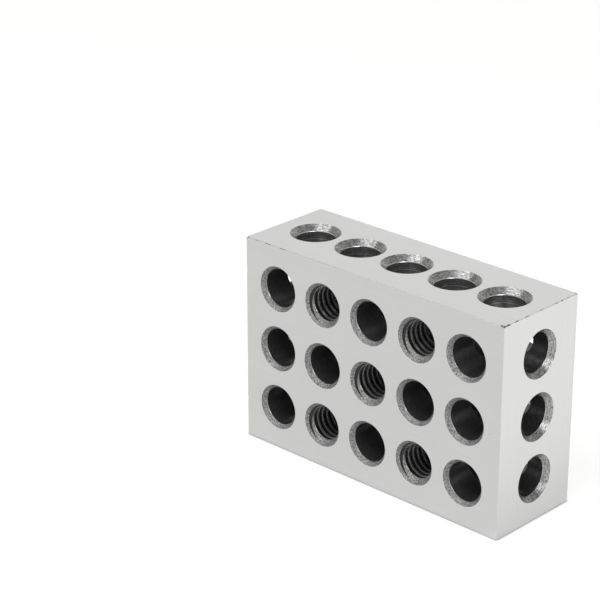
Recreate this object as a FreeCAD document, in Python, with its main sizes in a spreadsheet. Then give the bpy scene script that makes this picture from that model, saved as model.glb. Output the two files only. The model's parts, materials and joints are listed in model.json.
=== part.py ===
"""A 1-2-3 setup block: a hardened and ground steel block of 1 by 2 by 3 inches, drilled through all faces.

The block lies on one of its long narrow faces: length along X, width along Y, height along Z.
Three families of through holes cross at the middle of the block, on one grid of columns and rows.
The bores through the side faces are clearance bores, apart from five that are tapped 3/8-16 UNC:
the middle one and the four around it at the corners. The tapped ones are drilled to tap size here.
Every mouth, on all six faces, is countersunk.
"""
import FreeCAD, Part
import os
import Sketcher

DIMENSIONS = {
    "length": (76.2, "along X, 3 inches"),
    "width": (25.4, "along Y, 1 inch"),
    "height": (50.8, "along Z, 2 inches"),
    "edge_break": (0.3, "chamfer on the twelve outer edges"),
    "column_pitch": (14.0, "between the five columns of holes, along X"),
    "row_pitch": (15.0, "between the three rows of holes, along Z"),
    "clearance_diameter": (9.2, "plain bores, which pass a 5/16 inch screw"),
    "sink_angle": (82.0, "included angle of the mouths on the side and end faces"),
    "top_sink_angle": (90.0, "included angle of the mouths on the top and bottom faces"),
    "side_mouth": (11.0, "mouth diameter of the plain bores through the side faces"),
    "tapped_mouth": (10.6, "mouth diameter of the tapped holes"),
    "end_mouth": (11.4, "mouth diameter of the bores through the end faces"),
    "top_mouth": (12.0, "mouth diameter of the bores through the top and bottom faces"),
}
THREAD_TYPE, THREAD_SIZE = "UNC", "3/8"
COLUMNS = (-2, -1, 0, 1, 2)
ROWS = (-1, 0, 1)
TAPPED = {(-1, -1), (1, -1), (0, 0), (-1, 1), (1, 1)}


def make_sheet(doc):
    """The driving dimensions, one row each: name, value and what it sizes."""
    sheet = doc.addObject("Spreadsheet::Sheet", "Dimensions")
    for row, (name, (value, note)) in enumerate(DIMENSIONS.items(), start=1):
        sheet.set(f"A{row}", name)
        sheet.set(f"B{row}", str(value))
        sheet.set(f"C{row}", note)
        sheet.setAlias(f"B{row}", name)
    doc.recompute()
    return sheet


def size(name):
    return DIMENSIONS[name][0]


def origin_plane(body, role):
    return next(plane for plane in body.Origin.OriginFeatures if plane.Role == role)


def add_sketch(body, name, plane, offset=None):
    """A sketch on one of the body's own planes, moved out along its normal by half of the named size."""
    sketch = body.newObject("Sketcher::SketchObject", name)
    sketch.AttachmentSupport = [(origin_plane(body, plane), "")]
    sketch.MapMode = "FlatFace"
    if offset:
        sketch.setExpression(".AttachmentOffset.Base.z", f"Dimensions.{offset} / 2")
    return sketch


def bind(sketch, constraint, name, times=1):
    """Add a dimension to a sketch, driven by a row of the sheet taken so many times."""
    index = sketch.addConstraint(constraint)
    sketch.setExpression(f"Constraints[{index}]", f"{times} * Dimensions.{name}")


def draw_outline(sketch, wide, tall):
    """A rectangle centred on the sketch's origin."""
    corners = [(-1, -1), (1, -1), (1, 1), (-1, 1)]
    points = [FreeCAD.Vector(x * size(wide) / 2, y * size(tall) / 2, 0) for x, y in corners]
    for start, end in zip(points, points[1:] + points[:1]):
        sketch.addGeometry(Part.LineSegment(start, end), False)
    for side in range(4):
        sketch.addConstraint(Sketcher.Constraint("Coincident", side, 2, (side + 1) % 4, 1))
    for side in (0, 2):
        sketch.addConstraint(Sketcher.Constraint("Horizontal", side))
    for side in (1, 3):
        sketch.addConstraint(Sketcher.Constraint("Vertical", side))
    sketch.addConstraint(Sketcher.Constraint("Symmetric", 0, 1, 1, 2, -1, 1))
    bind(sketch, Sketcher.Constraint("DistanceX", 0, 1, 0, 2, size(wide)), wide)
    bind(sketch, Sketcher.Constraint("DistanceY", 1, 1, 1, 2, size(tall)), tall)


def draw_centres(sketch, places):
    """A circle of the clearance diameter at each place, counted in columns and rows from the origin."""
    bore = size("clearance_diameter")
    for index, place in enumerate(places):
        centre = FreeCAD.Vector(place[0] * size("column_pitch"), place[1] * size("row_pitch"), 0)
        sketch.addGeometry(Part.Circle(centre, FreeCAD.Vector(0, 0, 1), bore / 2), False)
        for axis, count, pitch in zip("XY", place, ("column_pitch", "row_pitch")):
            if count:
                away = count * size(pitch)
                bind(sketch, Sketcher.Constraint(f"Distance{axis}", -1, 1, index, 3, away), pitch, count)
            else:
                on_axis = -1 if axis == "Y" else -2
                sketch.addConstraint(Sketcher.Constraint("PointOnObject", index, 3, on_axis))
        if index:
            sketch.addConstraint(Sketcher.Constraint("Equal", 0, index))
        else:
            bind(sketch, Sketcher.Constraint("Diameter", 0, bore), "clearance_diameter")


def add_holes(doc, body, name, sketch, mouth, sink_angle, far_plane, tapped=False):
    """Drill through from the sketch and countersink that side, then mirror it for the far side's mouths."""
    doc.recompute()
    solid_before = body.Shape.Volume
    hole = body.newObject("PartDesign::Hole", name)
    hole.Profile = sketch
    hole.DepthType = "ThroughAll"
    if tapped:
        hole.ThreadType = THREAD_TYPE
        hole.ThreadSize = THREAD_SIZE
        hole.Threaded = True
        hole.ModelThread = False
    else:
        hole.setExpression("Diameter", "Dimensions.clearance_diameter")
    hole.HoleCutType = "Countersink"
    hole.HoleCutCustomValues = True
    hole.setExpression("HoleCutDiameter", f"Dimensions.{mouth}")
    hole.setExpression("HoleCutCountersinkAngle", f"Dimensions.{sink_angle}")
    doc.recompute()
    drilled = body.Shape.Volume
    far_side = body.newObject("PartDesign::Mirrored", f"{name}_far_mouths")
    far_side.Originals = [hole]
    far_side.MirrorPlane = (origin_plane(body, far_plane), [""])
    body.Tip = far_side
    doc.recompute()
    if not body.Shape.Volume < drilled < solid_before:
        raise RuntimeError(f"{name} took no metal away")


def make_block(doc):
    body = doc.addObject("PartDesign::Body", "SetupBlock")
    body.Label = "setup_block"

    # ground bar, drawn about its centre and lifted to stand on Z = 0
    outline = add_sketch(body, "Outline", "XY_Plane")
    draw_outline(outline, "length", "width")
    blank = body.newObject("PartDesign::Pad", "Blank")
    blank.Profile = outline
    blank.Midplane = True
    blank.setExpression("Length", "Dimensions.height")
    body.setExpression(".Placement.Base.z", "Dimensions.height / 2")
    doc.recompute()

    broken = body.newObject("PartDesign::Chamfer", "BrokenEdges")
    broken.Base = (blank, [""])
    broken.UseAllEdges = True
    broken.setExpression("Size", "Dimensions.edge_break")
    body.Tip = broken

    grid = [(column, row) for column in COLUMNS for row in ROWS]
    plain = [place for place in grid if place not in TAPPED]

    # the front face looks along -Y, the way the XZ plane's normal points
    front = add_sketch(body, "SideClearanceCentres", "XZ_Plane", "width")
    draw_centres(front, plain)
    add_holes(doc, body, "SideClearanceBores", front, "side_mouth", "sink_angle", "XZ_Plane")

    tapped = add_sketch(body, "TappedCentres", "XZ_Plane", "width")
    draw_centres(tapped, sorted(TAPPED))
    add_holes(doc, body, "TappedHoles", tapped, "tapped_mouth", "sink_angle", "XZ_Plane", tapped=True)

    top = add_sketch(body, "TopCentres", "XY_Plane", "height")
    draw_centres(top, [(column, 0) for column in COLUMNS])
    add_holes(doc, body, "TopBores", top, "top_mouth", "top_sink_angle", "XY_Plane")

    end = add_sketch(body, "EndCentres", "YZ_Plane", "length")
    draw_centres(end, [(0, row) for row in ROWS])
    add_holes(doc, body, "EndBores", end, "end_mouth", "sink_angle", "YZ_Plane")
    return body


def check(doc, parts):
    """Stop if any object failed, or a sub-part is not one valid solid."""
    for item in doc.Objects:
        if {"Invalid", "Error"} & set(item.State):
            raise RuntimeError(f"{item.Name} failed: {item.State}")
    for part in parts:
        shape = part.Shape
        if shape.isNull() or not shape.isValid() or len(shape.Solids) != 1:
            raise RuntimeError(f"{part.Label} is not one valid solid")


def main():
    doc = FreeCAD.newDocument("SetupBlock")
    make_sheet(doc)
    parts = [make_block(doc)]
    doc.recompute()
    check(doc, parts)
    os.makedirs("parts", exist_ok=True)
    for part in parts:
        part.Shape.exportStep(f"parts/{part.Label}.step")
        box = part.Shape.BoundBox
        print(f"{part.Label}: {box.XLength:.2f} x {box.YLength:.2f} x {box.ZLength:.2f} mm, "
              f"{part.Shape.Volume:.0f} mm3, {len(part.Shape.Faces)} faces, lowest point {box.ZMin:.3f}")


main()
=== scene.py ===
"""A 1-2-3 setup block in hardened and ground tool steel, lying on a white sheet.

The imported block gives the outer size, the pitches of the holes and their radii. Geometry Nodes drill a
blank again with finer tools: the bores with their countersunk mouths, and the tapped holes with real
turns of thread. The drilled block then stands for the plain one, with a finish for each kind of surface:
ground, countersunk, bored and tapped.
"""
import json
import math

import bmesh
import bpy
import numpy as np
from mathutils import Matrix, Vector


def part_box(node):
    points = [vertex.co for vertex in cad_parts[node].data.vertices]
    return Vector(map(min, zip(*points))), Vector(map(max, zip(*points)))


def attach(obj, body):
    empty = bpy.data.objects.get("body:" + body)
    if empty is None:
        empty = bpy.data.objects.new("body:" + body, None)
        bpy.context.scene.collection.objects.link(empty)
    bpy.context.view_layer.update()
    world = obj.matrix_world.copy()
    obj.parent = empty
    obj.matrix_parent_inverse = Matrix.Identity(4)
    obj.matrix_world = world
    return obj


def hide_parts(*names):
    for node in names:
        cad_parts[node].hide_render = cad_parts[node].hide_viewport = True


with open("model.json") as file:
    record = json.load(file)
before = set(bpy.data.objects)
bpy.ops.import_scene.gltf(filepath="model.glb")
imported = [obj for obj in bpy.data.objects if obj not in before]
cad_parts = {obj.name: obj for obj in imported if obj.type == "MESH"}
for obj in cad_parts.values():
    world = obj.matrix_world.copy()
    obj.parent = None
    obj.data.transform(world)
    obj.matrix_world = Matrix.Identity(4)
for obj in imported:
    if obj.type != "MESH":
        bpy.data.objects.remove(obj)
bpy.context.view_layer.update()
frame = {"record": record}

NODE = "setup_block"
MM = 0.001
LOW, HIGH = (Vector(corner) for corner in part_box(NODE))
SIZE = HIGH - LOW
MIDDLE = (LOW + HIGH) / 2
MOUNTS = {mount["name"]: mount for mount in frame["record"]["mounts"]}

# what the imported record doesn't hold: the countersinks and the thread's form
TAPER = math.tan(math.radians(82 / 2))           # half the angle of a countersink
UPRIGHT_TAPER = math.tan(math.radians(90 / 2))
THREAD_PITCH = 25.4 / 16 * MM
THREAD_MAJOR = 9.525 / 2 * MM
THREAD_LEAD = 0.36 * MM                  # how far the groove is moved along, to start in the mouth
EDGE_BREAK = 0.18 * MM                   # stoned round, where the solid has a plain 0.3 mm chamfer
RIM_BREAK = 0.07 * MM                    # depth of the 45 degree break round a mouth
LIP = 0.07 * MM                          # half the band where a countersink meets its bore, worn, and painted lighter as a highlight line
OVERRUN = 2 * MM                         # how far the tools run past the faces
SIDES = 96                               # facets round a hole
THREAD_SIDES = 72                        # sections in a turn of thread
SHARP = math.radians(32)                 # a steeper bend between two facets is a real edge
MOUTHS = {"Side Mouth": 5.5 * MM, "Tapped Mouth": 5.3 * MM, "Upright Mouth": 6.0 * MM,
          "End Mouth": 5.7 * MM}         # radii


# ---------------------------------------------------------------- node helpers

def new_tree(name, kind, inputs, outputs):
    """A node group with the named sockets, given as (name, socket type[, value])."""
    tree = bpy.data.node_groups.new(name, kind)
    for label, socket, *value in inputs:
        made = tree.interface.new_socket(label, in_out="INPUT", socket_type=socket)
        if value:
            made.default_value = value[0]
    for label, socket in outputs:
        tree.interface.new_socket(label, in_out="OUTPUT", socket_type=socket)
    return tree, tree.nodes.new("NodeGroupInput").outputs, tree.nodes.new("NodeGroupOutput").inputs


def put(tree, kind, values=None, **settings):
    """Add a node, set its properties, then link or set its inputs, which go by name or number."""
    node = tree.nodes.new(kind)
    for name, value in settings.items():
        setattr(node, name, value)
    for key, value in (values or {}).items():
        if isinstance(value, bpy.types.NodeSocket):
            tree.links.new(value, node.inputs[key])
        else:
            node.inputs[key].default_value = value
    return node


def calc(tree, operation, *values):
    return put(tree, "ShaderNodeMath", dict(enumerate(values)), operation=operation).outputs[0]


def vector(tree, x=0.0, y=0.0, z=0.0):
    return put(tree, "ShaderNodeCombineXYZ", {"X": x, "Y": y, "Z": z}).outputs[0]


def nested(tree, inner, values):
    """One of the script's own groups, placed in a tree of the same kind."""
    kind = "GeometryNodeGroup" if tree.bl_idname == "GeometryNodeTree" else "ShaderNodeGroup"
    node = tree.nodes.new(kind)
    node.node_tree = inner
    for name, value in values.items():
        if isinstance(value, bpy.types.NodeSocket):
            tree.links.new(value, node.inputs[name])
        else:
            node.inputs[name].default_value = value
    return node


# ---------------------------------------------------------------- the tools that cut the holes

def drill_tree():
    """A double-ended drill and countersink about Z: eight rings of a lathe profile, mirrored."""
    tree, given, made = new_tree("Drill and countersink", "GeometryNodeTree", [
        ("Depth", "NodeSocketFloat"), ("Bore Radius", "NodeSocketFloat"),
        ("Mouth Radius", "NodeSocketFloat"), ("Taper", "NodeSocketFloat"),
        ("Rim Break", "NodeSocketFloat", RIM_BREAK), ("Lip", "NodeSocketFloat", LIP),
        ("Overrun", "NodeSocketFloat", OVERRUN), ("Sides", "NodeSocketInt", SIDES),
        ("Mouth Finish", "NodeSocketMaterial"), ("Lip Finish", "NodeSocketMaterial"),
        ("Bore Finish", "NodeSocketMaterial")], [("Tool", "NodeSocketGeometry")])
    half = calc(tree, "MULTIPLY", given["Depth"], 0.5)
    sink = calc(tree, "DIVIDE", calc(tree, "SUBTRACT", given["Mouth Radius"], given["Bore Radius"]),
                given["Taper"])
    corner = calc(tree, "SUBTRACT", half, sink)
    lip_start = calc(tree, "ADD", corner, given["Lip"])
    lip_end = calc(tree, "SUBTRACT", corner, given["Lip"])
    lip = calc(tree, "ADD", given["Bore Radius"], calc(tree, "MULTIPLY", given["Lip"], given["Taper"]))
    rim = calc(tree, "SUBTRACT", given["Mouth Radius"],
               calc(tree, "MULTIPLY", given["Rim Break"], given["Taper"]))
    flare = calc(tree, "ADD", rim, calc(tree, "ADD", given["Rim Break"], given["Overrun"]))
    heights = (calc(tree, "ADD", half, given["Overrun"]),
               calc(tree, "SUBTRACT", half, given["Rim Break"]), lip_start, lip_end)
    radii = (flare, rim, lip, given["Bore Radius"])

    index = put(tree, "GeometryNodeInputIndex").outputs[0]
    last = 2 * len(radii) - 1
    from_end = calc(tree, "MINIMUM", index, calc(tree, "SUBTRACT", last, index))
    side = calc(tree, "SIGN", calc(tree, "SUBTRACT", index, last / 2))

    def ring_value(values):
        switch = tree.nodes.new("GeometryNodeIndexSwitch")
        switch.data_type = "FLOAT"
        while len(switch.index_switch_items) < len(values):
            switch.index_switch_items.new()
        tree.links.new(from_end, switch.inputs[0])
        for number, value in enumerate(values, start=1):
            tree.links.new(value, switch.inputs[number])
        return switch.outputs[0]

    rings = put(tree, "GeometryNodeMeshLine", {"Count": last + 1, "Offset": (0, 0, 1)}).outputs[0]
    rings = put(tree, "GeometryNodeStoreNamedAttribute",
                {"Geometry": rings, "Name": "ring", "Value": ring_value(radii)}).outputs[0]
    place = vector(tree, z=calc(tree, "MULTIPLY", side, ring_value(heights)))
    rings = put(tree, "GeometryNodeSetPosition", {"Geometry": rings, "Position": place}).outputs[0]
    axis = put(tree, "GeometryNodeMeshToCurve", {"Mesh": rings}).outputs[0]
    circle = put(tree, "GeometryNodeCurvePrimitiveCircle",
                 {"Resolution": given["Sides"], "Radius": 1.0}).outputs[0]
    ring = put(tree, "GeometryNodeInputNamedAttribute", {"Name": "ring"}, data_type="FLOAT").outputs[0]
    tool = put(tree, "GeometryNodeCurveToMesh",
               {"Curve": axis, "Profile Curve": circle, "Scale": ring, "Fill Caps": True}).outputs[0]

    position = put(tree, "GeometryNodeInputPosition").outputs[0]
    height = calc(tree, "ABSOLUTE", put(tree, "ShaderNodeSeparateXYZ", {0: position}).outputs["Z"])
    for limit, finish in ((None, "Mouth Finish"), (lip_start, "Lip Finish"), (lip_end, "Bore Finish")):
        chosen = calc(tree, "LESS_THAN", height, limit) if limit else True
        tool = put(tree, "GeometryNodeSetMaterial", {
            "Geometry": tool, "Selection": chosen, "Material": given[finish]}).outputs[0]
    tree.links.new(tool, made["Tool"])
    return tree


def thread_tree():
    """The groove of a right-hand 60 degree thread about Z: its section swept along a helix."""
    tree, given, made = new_tree("Thread groove", "GeometryNodeTree", [
        ("Depth", "NodeSocketFloat"), ("Crest Radius", "NodeSocketFloat"),
        ("Root Radius", "NodeSocketFloat"), ("Pitch", "NodeSocketFloat"),
        ("Lead", "NodeSocketFloat", THREAD_LEAD),
        ("Overrun", "NodeSocketFloat", OVERRUN), ("Sides", "NodeSocketInt", THREAD_SIDES),
        ("Finish", "NodeSocketMaterial")], [("Tool", "NodeSocketGeometry")])
    length = calc(tree, "ADD", given["Depth"], calc(tree, "MULTIPLY", given["Overrun"], 2.0))
    helix = put(tree, "GeometryNodeCurveSpiral", {
        "Resolution": given["Sides"], "Rotations": calc(tree, "DIVIDE", length, given["Pitch"]),
        "Start Radius": given["Crest Radius"], "End Radius": given["Crest Radius"],
        "Height": length, "Reverse": True}).outputs[0]
    lowered = vector(tree, z=calc(tree, "ADD", calc(tree, "MULTIPLY", length, -0.5), given["Lead"]))
    helix = put(tree, "GeometryNodeTransform", {"Geometry": helix, "Translation": lowered}).outputs[0]
    helix = put(tree, "GeometryNodeSetCurveNormal", {0: helix}, mode="Z_UP").outputs[0]

    # the section: a flat root an eighth of the pitch wide, and flanks that open at 30 degrees each side
    into_core = 0.25 * MM                # how far it reaches in past the crests, for a clean cut
    rise = calc(tree, "SUBTRACT", given["Root Radius"], given["Crest Radius"])
    root_half = calc(tree, "MULTIPLY", given["Pitch"], 1 / 16)
    flank = calc(tree, "MULTIPLY", calc(tree, "ADD", rise, into_core), math.tan(math.radians(30)))
    foot_half = calc(tree, "ADD", root_half, flank)
    corners = {
        "Point 1": vector(tree, -into_core, calc(tree, "MULTIPLY", foot_half, -1.0)),
        "Point 2": vector(tree, rise, calc(tree, "MULTIPLY", root_half, -1.0)),
        "Point 3": vector(tree, rise, root_half),
        "Point 4": vector(tree, -into_core, foot_half),
    }
    section = put(tree, "GeometryNodeCurvePrimitiveQuadrilateral", corners, mode="POINTS").outputs[0]
    tool = put(tree, "GeometryNodeCurveToMesh",
               {"Curve": helix, "Profile Curve": section, "Fill Caps": True}).outputs[0]
    tool = put(tree, "GeometryNodeSetMaterial",
               {"Geometry": tool, "Material": given["Finish"]}).outputs[0]
    tree.links.new(tool, made["Tool"])
    return tree


def drilled_block_tree(drill, thread):
    """The blank less a grid of side holes, some tapped, a line of uprights and a line of end holes."""
    tree, given, made = new_tree("Drilled block", "GeometryNodeTree", [
        ("Blank", "NodeSocketGeometry"), ("Nicks", "NodeSocketObject"), ("Size", "NodeSocketVector"),
        ("Middle", "NodeSocketVector"), ("Columns", "NodeSocketInt"), ("Rows", "NodeSocketInt"),
        ("Column Pitch", "NodeSocketFloat"), ("Row Pitch", "NodeSocketFloat"),
        ("Clearance Radius", "NodeSocketFloat"), ("Tap Radius", "NodeSocketFloat"),
        ("Thread Radius", "NodeSocketFloat"), ("Thread Pitch", "NodeSocketFloat"),
        ("Side Mouth", "NodeSocketFloat"), ("Tapped Mouth", "NodeSocketFloat"),
        ("Upright Mouth", "NodeSocketFloat"), ("End Mouth", "NodeSocketFloat"),
        ("Taper", "NodeSocketFloat"), ("Upright Taper", "NodeSocketFloat"),
        ("Ground", "NodeSocketMaterial"), ("Edge", "NodeSocketMaterial"),
        ("Mouth", "NodeSocketMaterial"), ("Dull Mouth", "NodeSocketMaterial"),
        ("Lip", "NodeSocketMaterial"), ("Bore", "NodeSocketMaterial"), ("Thread", "NodeSocketMaterial")],
        [("Block", "NodeSocketGeometry")])
    size = put(tree, "ShaderNodeSeparateXYZ", {0: given["Size"]}).outputs
    spread = [calc(tree, "MULTIPLY", calc(tree, "SUBTRACT", given[count], 1.0), given[pitch])
              for count, pitch in (("Columns", "Column Pitch"), ("Rows", "Row Pitch"))]

    def tool(depth, bore, mouth, taper="Taper", cone="Dull Mouth", finish="Bore"):
        return nested(tree, drill, {
            "Depth": depth, "Bore Radius": given[bore], "Mouth Radius": given[mouth],
            "Taper": given[taper],
            "Mouth Finish": given[cone], "Lip Finish": given["Lip"],
            "Bore Finish": given[finish]}).outputs[0]

    def stand(points, instance, turn, selection=True):
        """The tool at each selected point, the points drawn flat and then turned with their tools."""
        placed = put(tree, "GeometryNodeInstanceOnPoints",
                     {"Points": points, "Selection": selection, "Instance": instance}).outputs[0]
        return put(tree, "GeometryNodeTransform",
                   {"Geometry": placed, "Translation": given["Middle"], "Rotation": turn}).outputs[0]

    # the side faces: every column and row, the tapped ones making a five-spot about the middle
    grid = put(tree, "GeometryNodeMeshGrid", {
        "Size X": spread[0], "Size Y": spread[1],
        "Vertices X": given["Columns"], "Vertices Y": given["Rows"]}).outputs[0]
    place = put(tree, "ShaderNodeSeparateXYZ", {
        0: put(tree, "GeometryNodeInputPosition").outputs[0]}).outputs
    column = calc(tree, "ROUND", calc(tree, "DIVIDE", place["X"], given["Column Pitch"]))
    row = calc(tree, "ROUND", calc(tree, "DIVIDE", place["Y"], given["Row Pitch"]))
    odd = calc(tree, "FLOORED_MODULO", calc(tree, "ADD", column, row), 2.0)
    inner = calc(tree, "LESS_THAN", calc(tree, "ABSOLUTE", column), 1.5)
    tapped = calc(tree, "MULTIPLY", inner, calc(tree, "LESS_THAN", odd, 0.5))
    plain = calc(tree, "SUBTRACT", 1.0, tapped)
    to_side = (math.pi / 2, 0, 0)
    to_end = (math.pi / 2, 0, math.pi / 2)
    cuts = [stand(grid, tool(size["Y"], "Clearance Radius", "Side Mouth"), to_side, plain),
            stand(grid, tool(size["Y"], "Tap Radius", "Tapped Mouth", finish="Thread"), to_side, tapped),
            stand(grid, nested(tree, thread, {
                "Depth": size["Y"], "Crest Radius": given["Tap Radius"],
                "Root Radius": given["Thread Radius"], "Pitch": given["Thread Pitch"],
                "Finish": given["Thread"]}).outputs[0], to_side, tapped)]

    # the top and bottom, and the two ends: one line of plain bores each
    for count, span, step, depth, mouth, taper, turn in (
            ("Columns", spread[0], vector(tree, x=given["Column Pitch"]), "Z", "Upright Mouth",
             "Upright Taper", (0, 0, 0)),
            ("Rows", spread[1], vector(tree, y=given["Row Pitch"]), "X", "End Mouth", "Taper", to_end)):
        start = calc(tree, "MULTIPLY", span, -0.5)
        first = vector(tree, x=start) if turn == (0, 0, 0) else vector(tree, y=start)
        line = put(tree, "GeometryNodeMeshLine", {
            "Count": given[count], "Start Location": first, "Offset": step}).outputs[0]
        cuts.append(stand(line, tool(size[depth], "Clearance Radius", mouth, taper, "Mouth"), turn))

    cuts.append(put(tree, "GeometryNodeObjectInfo", {0: given["Nicks"]}).outputs["Geometry"])
    blank = put(tree, "GeometryNodeSetMaterial",
                {"Geometry": given["Blank"], "Material": given["Ground"]}).outputs[0]
    cut = put(tree, "GeometryNodeMeshBoolean", {"Mesh 1": blank}, operation="DIFFERENCE",
              solver="MANIFOLD")
    for cutter in reversed(cuts):
        tree.links.new(cutter, cut.inputs["Mesh 2"])
    block = put(tree, "GeometryNodeRealizeInstances", {0: cut.outputs[0]}).outputs[0]

    # what is left of the blank and looks along no axis is a broken edge
    slope = put(tree, "ShaderNodeSeparateXYZ", {
        0: put(tree, "ShaderNodeVectorMath", {0: put(tree, "GeometryNodeInputNormal").outputs[0]},
               operation="ABSOLUTE").outputs[0]}).outputs
    steepest = calc(tree, "MAXIMUM", calc(tree, "MAXIMUM", slope["X"], slope["Y"]), slope["Z"])
    outside = put(tree, "GeometryNodeMaterialSelection", {"Material": given["Ground"]}).outputs[0]
    along_axis = 0.999
    on_edge = calc(tree, "MULTIPLY", outside, calc(tree, "LESS_THAN", steepest, along_axis))
    block = put(tree, "GeometryNodeSetMaterial",
                {"Geometry": block, "Selection": on_edge, "Material": given["Edge"]}).outputs[0]
    tree.links.new(block, made["Block"])
    return tree


# ---------------------------------------------------------------- the blank and its wear

def own_mesh(name, shape, finishes=()):
    """A mesh object at the origin, made from a bmesh."""
    mesh = bpy.data.meshes.new(name)
    shape.to_mesh(mesh)
    shape.free()
    for finish in finishes:
        mesh.materials.append(finish)
    piece = bpy.data.objects.new(name, mesh)
    bpy.context.scene.collection.objects.link(piece)
    return piece


def blank_bar():
    """The ground bar before drilling, its twelve edges broken with a stone."""
    shape = bmesh.new()
    bmesh.ops.create_cube(shape, size=1.0)
    for corner in shape.verts:
        corner.co = MIDDLE + Vector(part * side for part, side in zip(corner.co, SIZE))
    bmesh.ops.bevel(shape, geom=shape.edges[:], offset=EDGE_BREAK, segments=4, profile=0.5,
                    affect="EDGES")
    return own_mesh("blank_bar", shape)


# knocks and bruises: (corner or edge it sits on, -1 to 1 from the middle of each side),
# (shift from there in mm), (half its size in mm along x, y and z)
KNOCKS = [
    ((1, -1, 1), (-0.35, 0.12, -0.02), (0.95, 0.42, 0.36)),
    ((1, -1, 1), (-0.05, 1.25, 0.00), (0.30, 0.85, 0.30)),
    ((1, -1, 1), (-0.02, 4.10, 0.04), (0.24, 0.80, 0.24)),
    ((1, -1, 1), (0.00, 7.60, 0.05), (0.22, 0.95, 0.22)),
    ((1, -1, 1), (0.00, 12.60, 0.06), (0.20, 0.75, 0.20)),
    ((1, 1, 1), (0.00, -7.60, 0.03), (0.22, 0.70, 0.22)),
    ((1, 1, 1), (0.00, -5.60, 0.03), (0.22, 0.55, 0.22)),
    ((1, 1, 1), (0.00, -3.60, 0.05), (0.20, 0.50, 0.20)),
    ((1, 1, 1), (-0.10, -0.15, -0.05), (0.40, 0.55, 0.32)),
    ((-1, -1, 1), (0.25, 0.10, -0.15), (0.60, 0.40, 0.45)),
    ((-1, -1, 1), (3.10, 0.00, 0.02), (1.00, 0.17, 0.17)),
    ((-1, -1, 1), (6.90, 0.02, 0.00), (1.30, 0.15, 0.16)),
    ((-1, -1, 1), (11.50, 0.02, 0.00), (1.40, 0.14, 0.15)),
    ((-1, -1, -1), (0.10, 0.05, 9.50), (0.24, 0.24, 1.10)),
    ((-1, -1, 1), (0.05, 0.05, -8.50), (0.22, 0.22, 0.90)),
    ((1, -1, 0), (-2.93, -0.14, -0.54), (0.16, 0.22, 0.20)),
    ((1, 1, -1), (-0.05, -0.05, 0.10), (0.45, 0.40, 0.40)),
    ((-1, 1, 1), (0.10, -0.10, -0.05), (0.45, 0.40, 0.35)),
    ((-1, 1, -1), (0.05, -0.05, 14.0), (0.24, 0.24, 0.90)),
]


def knock_cutters(finish):
    """Small rough stones set into the edges, which leave a knock where each is cut away."""
    shape = bmesh.new()
    spread = np.random.default_rng(3)
    for corner, shift, half in KNOCKS:
        centre = MIDDLE + Vector(sign * side / 2 for sign, side in zip(corner, SIZE))
        centre += Vector(shift) * MM
        made = bmesh.ops.create_icosphere(shape, subdivisions=2, radius=1.0)["verts"]
        for point in made:
            point.co = centre + Vector(part * size * MM * spread.uniform(0.8, 1.1)
                                       for part, size in zip(point.co, half))
    return own_mesh("knock_cutters", shape, [finish])


# ---------------------------------------------------------------- the drilled block

def drilled_block(finishes):
    """Run the blank through the node tree and keep the result as a plain mesh."""
    bar = blank_bar()
    knocks = knock_cutters(finishes["Knock"])
    upright, other = MOUNTS["upright_column_1"], MOUNTS["upright_column_2"]
    low_row, next_row = MOUNTS["end_bottom"], MOUNTS["end_middle"]
    values = {
        "Nicks": knocks, "Size": SIZE, "Middle": MIDDLE, "Columns": 5, "Rows": 3,
        "Column Pitch": other["pos_m"][0] - upright["pos_m"][0],
        "Row Pitch": next_row["pos_m"][2] - low_row["pos_m"][2],
        "Clearance Radius": upright["dims"]["r_mm"] * MM,
        "Tap Radius": MOUNTS["tapped_column_3_middle"]["dims"]["r_mm"] * MM,
        "Thread Radius": THREAD_MAJOR, "Thread Pitch": THREAD_PITCH, **MOUTHS,
        "Taper": TAPER, "Upright Taper": UPRIGHT_TAPER,
        **{zone: finish for zone, finish in finishes.items() if zone != "Knock"}}
    tree = drilled_block_tree(drill_tree(), thread_tree())
    modifier = bar.modifiers.new("Drilled block", "NODES")
    modifier.node_group = tree
    for item in tree.interface.items_tree:
        if item.in_out == "INPUT" and item.name in values:
            modifier[item.identifier] = values[item.name]
    ready = bpy.context.evaluated_depsgraph_get()
    ready.update()
    mesh = bpy.data.meshes.new_from_object(bar.evaluated_get(ready), depsgraph=ready)
    for spent in (bar, knocks):
        bpy.data.objects.remove(spent)
    if "ring" in mesh.attributes:
        mesh.attributes.remove(mesh.attributes["ring"])
    block = bpy.data.objects.new("ground_block", mesh)
    bpy.context.scene.collection.objects.link(block)
    return block


def hole_axes():
    """Each drilled hole: its number, a point on its axis, the axis and two directions across it."""
    for number, mount in enumerate(frame["record"]["mounts"]):
        if mount["kind"] in ("bore", "threaded_hole"):
            along = np.abs(np.array(mount["axis"], dtype=float))
            u, v = [np.eye(3)[i] for i in range(3) if not along[i]]
            yield number, np.array(mount["pos_m"]), along, u, v


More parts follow.
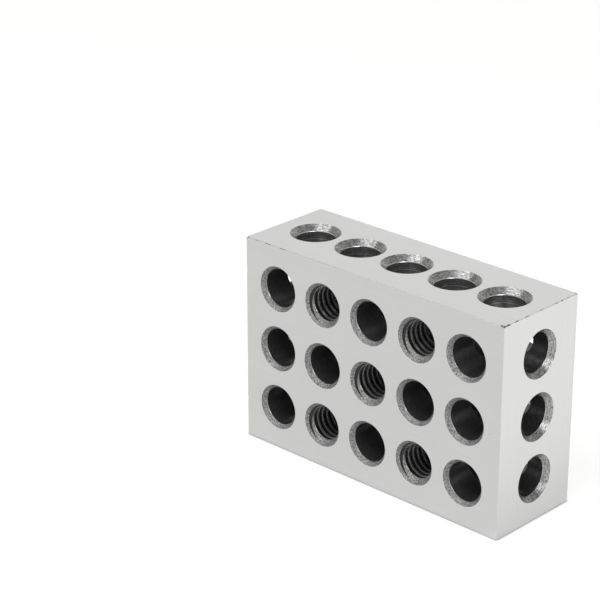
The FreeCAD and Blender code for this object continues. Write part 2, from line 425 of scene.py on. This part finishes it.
def mark_surfaces(block):
    """Smooth the round surfaces, keep the corners sharp and store what the finishes follow.

    "across" is the direction in which a tool's marks change fastest, "round" the direction from a
    hole's axis with the hole's number, and "reach" the distance from the axis and into the block, in mm,
    with 1 for an upright hole.
    """
    mesh = block.data
    count = len(mesh.polygons)
    normals = np.empty(count * 3)
    centres = np.empty(count * 3)
    slots = np.empty(count, dtype=int)
    mesh.polygons.foreach_get("normal", normals)
    mesh.polygons.foreach_get("center", centres)
    mesh.polygons.foreach_get("material_index", slots)
    normals = normals.reshape(-1, 3)
    centres = centres.reshape(-1, 3)
    names = np.array([finish.name for finish in mesh.materials])[slots]
    in_hole = np.isin(names, ["Countersunk mouth", "Dull mouth", "Worn lip with painted highlight", "Bored wall",
                              "Tapped thread"])

    # a flat face's marks run along its length, so they change across it; a hole's go round it
    across = np.zeros((count, 3))
    steepest = np.abs(normals).argmax(axis=1)
    for looks_along, changes_along in ((0, 1), (1, 2), (2, 1)):      # numbers of axes
        across[steepest == looks_along, changes_along] = 1
    nearest = np.full(count, np.inf)
    owner = np.zeros(count, dtype=int)
    holes = list(hole_axes())
    middle = np.array(MIDDLE)
    depth = np.array(SIZE) / 2
    usual_wall = 4.9 * MM                # between the radii of the bores and the mouths
    past_mouths = 6.2 * MM               # just over the widest mouth's radius
    turned_away = 2 * MM                 # a wall that faces off the axis counts as this much further off
    for index, (number, point, along, u, v) in enumerate(holes):
        off = np.stack([(centres - point) @ u, (centres - point) @ v], axis=1)
        distance = np.hypot(off[:, 0], off[:, 1])
        facing = np.abs(normals @ u * off[:, 0] + normals @ v * off[:, 1]) / np.maximum(distance, 1e-9)
        outside = np.abs(distance - usual_wall) + (1 - facing) * turned_away
        closer = in_hole & (distance < past_mouths) & (outside < nearest)
        nearest[closer] = outside[closer]
        owner[closer] = index
        across[closer] = along

    starts = np.empty(count, dtype=int)
    totals = np.empty(count, dtype=int)
    mesh.polygons.foreach_get("loop_start", starts)
    mesh.polygons.foreach_get("loop_total", totals)
    corners = np.empty(len(mesh.loops), dtype=int)
    mesh.loops.foreach_get("vertex_index", corners)
    places = np.empty(len(mesh.vertices) * 3)
    mesh.vertices.foreach_get("co", places)
    places = places.reshape(-1, 3)[corners]
    face_of = np.repeat(np.arange(count), totals)
    turn = np.zeros((len(corners), 3))
    reach = np.zeros((len(corners), 3))
    for index, (number, point, along, u, v) in enumerate(holes):
        mine = (in_hole & (owner == index))[face_of]
        off = np.stack([(places[mine] - point) @ u, (places[mine] - point) @ v], axis=1)
        distance = np.maximum(np.hypot(off[:, 0], off[:, 1]), 1e-9)
        turn[mine, 0], turn[mine, 1] = off[:, 0] / distance, off[:, 1] / distance
        turn[mine, 2] = number
        reach[mine, 0] = distance / MM
        reach[mine, 1] = (depth @ along - np.abs((places[mine] - middle) @ along)) / MM
        reach[mine, 2] = along[2]
    for name, domain, data in (("across", "FACE", across), ("round", "CORNER", turn),
                               ("reach", "CORNER", reach)):
        stored = mesh.attributes.new(name, "FLOAT_VECTOR", domain)
        stored.data.foreach_set("vector", data.ravel())

    shape = bmesh.new()
    shape.from_mesh(mesh)
    for face in shape.faces:
        face.smooth = True
    for edge in shape.edges:
        one, two = edge.link_faces
        edge.smooth = one.material_index == two.material_index and edge.calc_face_angle() < SHARP
    shape.to_mesh(mesh)
    shape.free()


# ---------------------------------------------------------------- finishes

def attribute(tree, name):
    return put(tree, "ShaderNodeAttribute", attribute_name=name).outputs["Vector"]


def ramp(tree, factor, low, high, low_at=0.0, high_at=1.0):
    """A grey or a number that goes from low to high as the factor does."""
    return put(tree, "ShaderNodeMapRange", {
        "Value": factor, "From Min": low_at, "From Max": high_at, "To Min": low, "To Max": high,
    }).outputs["Result"]


def tool_marks_group():
    """Streaks on Object coordinates: slow along the tool's path, fast across it, with slow blotches."""
    tree, given, made = new_tree("Tool marks", "ShaderNodeTree", [
        ("Along", "NodeSocketFloat"), ("Across", "NodeSocketFloat"), ("Blotch", "NodeSocketFloat")],
        [("Streaks", "NodeSocketFloat"), ("Blotches", "NodeSocketFloat")])
    place = put(tree, "ShaderNodeTexCoord").outputs["Object"]
    across = attribute(tree, "across")
    reach = put(tree, "ShaderNodeVectorMath", {0: place, 1: across},
                operation="DOT_PRODUCT").outputs["Value"]
    extra = calc(tree, "MULTIPLY", reach, calc(tree, "SUBTRACT", given["Across"], given["Along"]))
    slow = put(tree, "ShaderNodeVectorMath", {0: place, "Scale": given["Along"]},
               operation="SCALE").outputs[0]
    fast = put(tree, "ShaderNodeVectorMath", {0: across, "Scale": extra}, operation="SCALE").outputs[0]
    stretched = put(tree, "ShaderNodeVectorMath", {0: slow, 1: fast}, operation="ADD").outputs[0]
    streaks = put(tree, "ShaderNodeTexNoise", {
        "Vector": stretched, "Scale": 1.0, "Detail": 3.0, "Roughness": 0.65}).outputs[0]
    blotches = put(tree, "ShaderNodeTexNoise", {
        "Vector": place, "Scale": given["Blotch"], "Detail": 2.0}).outputs[0]
    tree.links.new(streaks, made["Streaks"])
    tree.links.new(blotches, made["Blotches"])
    return tree


def turning_group():
    """Marks of a cutter turning in a hole: chatter rays about the axis, scales round it, and rings."""
    tree, given, made = new_tree("Turning marks", "ShaderNodeTree", [
        ("Rays", "NodeSocketFloat"), ("Scales Round", "NodeSocketFloat"),
        ("Rings Per mm", "NodeSocketFloat")],
        [("Chatter", "NodeSocketFloat"), ("Scales", "NodeSocketFloat"), ("Rings", "NodeSocketFloat")])
    turn = attribute(tree, "round")
    reach = put(tree, "ShaderNodeSeparateXYZ", {0: attribute(tree, "reach")}).outputs
    along = calc(tree, "MULTIPLY", calc(tree, "SUBTRACT", reach["Y"], reach["X"]), given["Rings Per mm"])
    rays = put(tree, "ShaderNodeTexNoise", {"Vector": turn, "Scale": given["Rays"], "Detail": 2.0,
                                            "Roughness": 0.7}).outputs[0]
    rings = put(tree, "ShaderNodeTexNoise", {"W": along, "Scale": 1.0, "Detail": 1.0},
                noise_dimensions="1D").outputs[0]
    spread = put(tree, "ShaderNodeVectorMath", {0: turn, "Scale": given["Scales Round"]},
                 operation="SCALE").outputs[0]
    wound = put(tree, "ShaderNodeVectorMath", {0: spread, 1: vector(tree, z=along)},
                operation="ADD").outputs[0]
    scales = put(tree, "ShaderNodeTexNoise", {"Vector": wound, "Scale": 1.0, "Detail": 2.0,
                                              "Roughness": 0.6}).outputs[0]
    for name, value in (("Chatter", rays), ("Scales", scales), ("Rings", rings)):
        tree.links.new(value, made[name])
    return tree


def steel(name, **sockets):
    """A new material, with its tree and its Principled shader, whose plain numbers are set here."""
    material = bpy.data.materials.new(name)
    material.use_nodes = True
    tree = material.node_tree
    shader = next(node for node in tree.nodes if node.type == "BSDF_PRINCIPLED")
    for socket, value in sockets.items():
        shader.inputs[socket.replace("_", " ")].default_value = value
    return material, tree, shader


def grey(tree, value):
    """A faintly warm grey of the given brightness."""
    return put(tree, "ShaderNodeCombineColor", {
        0: value, 1: value, 2: calc(tree, "MULTIPLY", value, 0.985)}).outputs[0]


def bump(tree, shader, height, strength, distance):
    """Relief from a height, its distance in mm."""
    relief = put(tree, "ShaderNodeBump", {
        "Height": height, "Strength": strength, "Distance": distance * MM}).outputs[0]
    tree.links.new(relief, shader.inputs["Normal"])


def ground_steel(marks, name, tones, rough, streak):
    """A ground or stoned surface, with fine streaks along its length."""
    material, tree, shader = steel(name, Metallic=1.0)
    found = nested(tree, marks, streak).outputs
    tone = calc(tree, "ADD", calc(tree, "MULTIPLY", found["Streaks"], 0.6),
                calc(tree, "MULTIPLY", found["Blotches"], 0.4))
    tree.links.new(grey(tree, ramp(tree, tone, *tones, 0.3, 0.7)), shader.inputs["Base Color"])
    tree.links.new(ramp(tree, found["Streaks"], rough + 0.02, rough - 0.02, 0.3, 0.7),
                   shader.inputs["Roughness"])
    bump(tree, shader, found["Streaks"], strength=0.10, distance=0.01)
    return material


def mouth_steel(turning, name, marks, metallic, rough, tones, chatter):
    """The countersinks: cut with chatter, duller than the faces, and speckled like fish scale."""
    material, tree, shader = steel(name, Metallic=metallic)
    found = nested(tree, turning, marks).outputs
    height = calc(tree, "ADD", calc(tree, "MULTIPLY", found["Chatter"], chatter), found["Scales"])
    tree.links.new(grey(tree, ramp(tree, found["Scales"], *tones, 0.36, 0.64)),
                   shader.inputs["Base Color"])
    tree.links.new(ramp(tree, found["Chatter"], rough + 0.05, rough - 0.05, 0.3, 0.7),
                   shader.inputs["Roughness"])
    bump(tree, shader, height, strength=0.8, distance=0.05)
    return material


def bored_scale(turning):
    """The bores: black scale; in the upright ones lighter along the drill's rings, partly rubbed steel
    and partly painted light from above.
    """
    material, tree, shader = steel("Bored wall", Metallic=0.5)
    found = nested(tree, turning, {"Rays": 3.0, "Scales Round": 4.0, "Rings Per mm": 2.6}).outputs
    upright = put(tree, "ShaderNodeSeparateXYZ", {0: attribute(tree, "reach")}).outputs["Z"]
    ringed = ramp(tree, found["Rings"], 0.03, 0.42, 0.45, 0.72)
    # painted light: the upright bores, lit from above, are made lighter along the drill's feed rings,
    # which are real marks
    rubbed = calc(tree, "MULTIPLY", upright,
                  calc(tree, "MULTIPLY", ringed, ramp(tree, found["Scales"], 0.4, 1.0, 0.3, 0.7)))
    tone = calc(tree, "ADD", ramp(tree, found["Scales"], 0.055, 0.090, 0.35, 0.7), rubbed)
    tree.links.new(grey(tree, tone), shader.inputs["Base Color"])
    tree.links.new(ramp(tree, found["Scales"], 0.44, 0.30, 0.3, 0.7), shader.inputs["Roughness"])
    height = calc(tree, "ADD", found["Rings"], found["Scales"])
    bump(tree, shader, height, strength=0.6, distance=0.05)
    return material


def tapped_steel(turning):
    """The threads: scale in the grooves, rubbed through to grey steel on the crests."""
    material, tree, shader = steel("Tapped thread", Metallic=0.7)
    found = nested(tree, turning, {"Rays": 6.0, "Scales Round": 12.0, "Rings Per mm": 5.0}).outputs
    reach = put(tree, "ShaderNodeSeparateXYZ", {0: attribute(tree, "reach")}).outputs
    crest_from, crest_to = 4.02, 4.14    # mm from the axis
    crests_bright_to, crests_dim_from = 2.5, 6.0    # mm into the block; the crests grow darker from the first depth to the second
    crest = calc(tree, "MULTIPLY", ramp(tree, reach["X"], 1.0, 0.0, crest_from, crest_to),
                 ramp(tree, reach["Y"], 1.0, 0.5, crests_bright_to, crests_dim_from))
    worn = calc(tree, "MULTIPLY", crest, ramp(tree, found["Scales"], 0.12, 0.40, 0.35, 0.65))
    tone = calc(tree, "ADD", ramp(tree, found["Scales"], 0.025, 0.050, 0.3, 0.7), worn)
    tree.links.new(grey(tree, tone), shader.inputs["Base Color"])
    tree.links.new(ramp(tree, found["Scales"], 0.36, 0.22, 0.3, 0.7), shader.inputs["Roughness"])
    bump(tree, shader, found["Scales"], strength=0.4, distance=0.03)
    return material


def knocked_steel(marks):
    """Bare bruised metal in the knocks, painted dark in streaks as the shade in the dents."""
    material, tree, shader = steel("Knocked edge", Metallic=1.0)
    found = nested(tree, marks, {"Along": 2500.0, "Across": 2500.0, "Blotch": 300.0}).outputs
    tree.links.new(grey(tree, ramp(tree, found["Streaks"], 0.12, 0.5, 0.35, 0.65)),
                   shader.inputs["Base Color"])
    tree.links.new(ramp(tree, found["Blotches"], 0.35, 0.5, 0.3, 0.7), shader.inputs["Roughness"])
    bump(tree, shader, found["Streaks"], strength=0.6, distance=0.04)
    return material


def make_finishes():
    marks, turning = tool_marks_group(), turning_group()
    return {
        "Ground": ground_steel(marks, "Ground face", tones=(0.650, 0.685), rough=0.32,
                               streak={"Along": 45.0, "Across": 3200.0, "Blotch": 60.0}),
        # the broken edges: rougher stoned steel, and lighter than the faces as a painted highlight along
        # them
        "Edge": ground_steel(marks, "Broken edge", tones=(0.66, 0.74), rough=0.42,
                             streak={"Along": 200.0, "Across": 2000.0, "Blotch": 200.0}),
        # the lip: worn steel, and lighter than the mouths as a painted highlight line round the bore
        "Lip": ground_steel(marks, "Worn lip with painted highlight", tones=(0.50, 0.80), rough=0.30,
                            streak={"Along": 600.0, "Across": 2500.0, "Blotch": 900.0}),
        "Mouth": mouth_steel(turning, "Countersunk mouth",
                             {"Rays": 9.0, "Scales Round": 8.0, "Rings Per mm": 2.2},
                             metallic=0.70, rough=0.28, tones=(0.16, 0.50), chatter=0.2),
        "Dull Mouth": mouth_steel(turning, "Dull mouth",
                                  {"Rays": 12.0, "Scales Round": 13.0, "Rings Per mm": 2.6},
                                  metallic=0.50, rough=0.52, tones=(0.12, 0.46), chatter=0.25),
        "Bore": bored_scale(turning),
        "Thread": tapped_steel(turning), "Knock": knocked_steel(marks)}


# ---------------------------------------------------------------- floor, light and camera

def white_sheet():
    """A white sheet that keeps the block's shadow, and a dark line of contact which is painted shade.

    In reflections it glows with painted light, brighter on the block's right, and has a painted shadow
    close to the end face.
    """
    shape = bmesh.new()
    bmesh.ops.create_grid(shape, x_segments=1, y_segments=1, size=3.0)
    material, tree, shader = steel("White sheet", Base_Color=(0.21, 0.21, 0.21, 1), Roughness=0.9)
    shader.inputs["Specular IOR Level"].default_value = 0.0
    path = put(tree, "ShaderNodeLightPath").outputs
    place = put(tree, "ShaderNodeSeparateXYZ", {
        0: put(tree, "ShaderNodeTexCoord").outputs["Object"]}).outputs
    end = HIGH.x
    # painted light: the glow the sheet shows only in reflections, from the block's left to its right
    left_glow, right_glow = 0.335, 0.58
    right_from, right_to = 18 * MM, 32 * MM
    # painted shadow in reflections: the glow's level at the end face, and how far out it recovers
    end_shade, shade_reach = 0.60, 30 * MM
    contact_width = 0.7 * MM
    paper_tone = 0.40
    to_right = ramp(tree, calc(tree, "ADD", place["X"], place["Y"]), left_glow, right_glow,
                    right_from, right_to)
    beside = calc(tree, "LESS_THAN", place["X"], end)
    shade = calc(tree, "MAXIMUM", beside, ramp(tree, place["X"], end_shade, 1.0, end, end + shade_reach))
    # painted contact shadow, from ambient occlusion close to the block
    contact = put(tree, "ShaderNodeAmbientOcclusion", {"Distance": contact_width}).outputs["AO"]
    # painted light and shade in reflections: the glow to the right, the shadow by the end face and the
    # contact shadow
    mirrored = calc(tree, "MULTIPLY", calc(tree, "MULTIPLY", to_right, shade), contact)
    glow = put(tree, "ShaderNodeEmission", {
        "Color": (1, 1, 1, 1), "Strength": calc(tree, "MULTIPLY", path["Is Glossy Ray"], mirrored)})
    # the paper seen by the camera, darkened by the painted contact shadow
    paper = put(tree, "ShaderNodeBsdfDiffuse", {
        "Color": grey(tree, ramp(tree, contact, 0.0, paper_tone))})
    lit = put(tree, "ShaderNodeMixShader", {0: path["Is Camera Ray"]})
    tree.links.new(shader.outputs[0], lit.inputs[1])
    tree.links.new(paper.outputs[0], lit.inputs[2])
    both = put(tree, "ShaderNodeAddShader")
    tree.links.new(lit.outputs[0], both.inputs[0])
    tree.links.new(glow.outputs[0], both.inputs[1])
    surface = next(node for node in tree.nodes if node.type == "OUTPUT_MATERIAL")
    tree.links.new(both.outputs[0], surface.inputs["Surface"])
    sheet = own_mesh("white_sheet", shape, [material])
    return sheet


def sheet_sun(sheet, direction, strength):
    """A soft sun that lights the sheet alone, so that the sheet is white but for the block's shadow."""
    sun = bpy.data.lights.new("sheet_sun", "SUN")
    sun.energy, sun.angle = strength, math.radians(5)
    holder = bpy.data.objects.new("sheet_sun", sun)
    holder.rotation_euler = Vector(direction).to_track_quat("Z", "Y").to_euler()
    bpy.context.scene.collection.objects.link(holder)
    lit = bpy.data.collections.new("Lit by the sheet's sun")
    lit.objects.link(sheet)
    holder.light_linking.receiver_collection = lit


def white_room():
    """White to the eye; in reflections a white sweep behind the block under a greyer ceiling."""
    world = bpy.data.worlds.new("White room")
    world.use_nodes = True
    bpy.context.scene.world = world
    tree = world.node_tree
    tree.nodes.clear()
    path = put(tree, "ShaderNodeLightPath").outputs
    seen = calc(tree, "MAXIMUM", path["Is Camera Ray"],
                calc(tree, "MAXIMUM", path["Is Glossy Ray"], path["Is Transmission Ray"]))
    way = put(tree, "ShaderNodeTexCoord").outputs["Generated"]
    behind = Vector((-0.45, 0.80, 0.40))
    sweep_level, floor_level, ceiling_level, fill_level = 1.02, 1.0, 0.32, 0.45
    sweep = put(tree, "ShaderNodeVectorMath", {0: way, 1: behind},
                operation="DOT_PRODUCT").outputs["Value"]
    height = put(tree, "ShaderNodeSeparateXYZ", {0: way}).outputs["Z"]
    room = calc(tree, "MAXIMUM", ramp(tree, sweep, ceiling_level, sweep_level, 0.62, 1.0),
                ramp(tree, height, floor_level, ceiling_level, 0.05, 0.50))
    shade = calc(tree, "MAXIMUM", room, path["Is Camera Ray"])
    shown = put(tree, "ShaderNodeBackground", {"Color": (1, 1, 1, 1), "Strength": shade})
    light = put(tree, "ShaderNodeBackground", {"Color": (1, 1, 1, 1), "Strength": fill_level})
    mixed = put(tree, "ShaderNodeMixShader", {0: seen})
    tree.links.new(light.outputs[0], mixed.inputs[1])
    tree.links.new(shown.outputs[0], mixed.inputs[2])
    end = put(tree, "ShaderNodeOutputWorld")
    tree.links.new(mixed.outputs[0], end.inputs["Surface"])


def softbox(name, direction, distance, width, height, power):
    """An area lamp at a distance from the block's middle, facing it, its width along the block."""
    lamp = bpy.data.lights.new(name, "AREA")
    lamp.shape = "RECTANGLE"
    lamp.size, lamp.size_y, lamp.energy = width, height, power
    holder = bpy.data.objects.new(name, lamp)
    way = Vector(direction).normalized()
    along = Vector((1, 0.12, 0))         # nearly the block's length
    level = (along - way * way.dot(along)).normalized()
    holder.location = MIDDLE + way * distance
    holder.rotation_euler = Matrix((level, way.cross(level), way)).transposed().to_euler()
    bpy.context.scene.collection.objects.link(holder)


def camera():
    """A long lens from above the near corner, aimed a little left of the block's middle."""
    view = bpy.data.cameras.new("camera")
    view.lens = 130.56
    view.sensor_width = 36.0
    view.clip_start, view.clip_end = 0.01, 20.0
    holder = bpy.data.objects.new("camera", view)
    bpy.context.scene.collection.objects.link(holder)
    stand = Vector((294.26, -344.38, 232.42)) * MM
    aim = Vector((-21.45, -12.20, 39.49)) * MM
    holder.location = stand
    holder.rotation_euler = (stand - aim).to_track_quat("Z", "Y").to_euler()
    bpy.context.scene.camera = holder


# ---------------------------------------------------------------- the scene

bpy.context.scene.view_settings.view_transform = "Standard"
block = drilled_block(make_finishes())
mark_surfaces(block)
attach(block, "root")
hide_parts(NODE)
sheet_sun(white_sheet(), (0.505, -0.587, 0.633), strength=9.4)
white_room()
softbox("key_light", (-0.14, -0.50, 0.84), distance=0.66, width=0.60, height=0.32, power=1.60)
softbox("side_light", (0.735, -0.33, 0.59), distance=0.66, width=0.26, height=0.37, power=0.92)
camera()
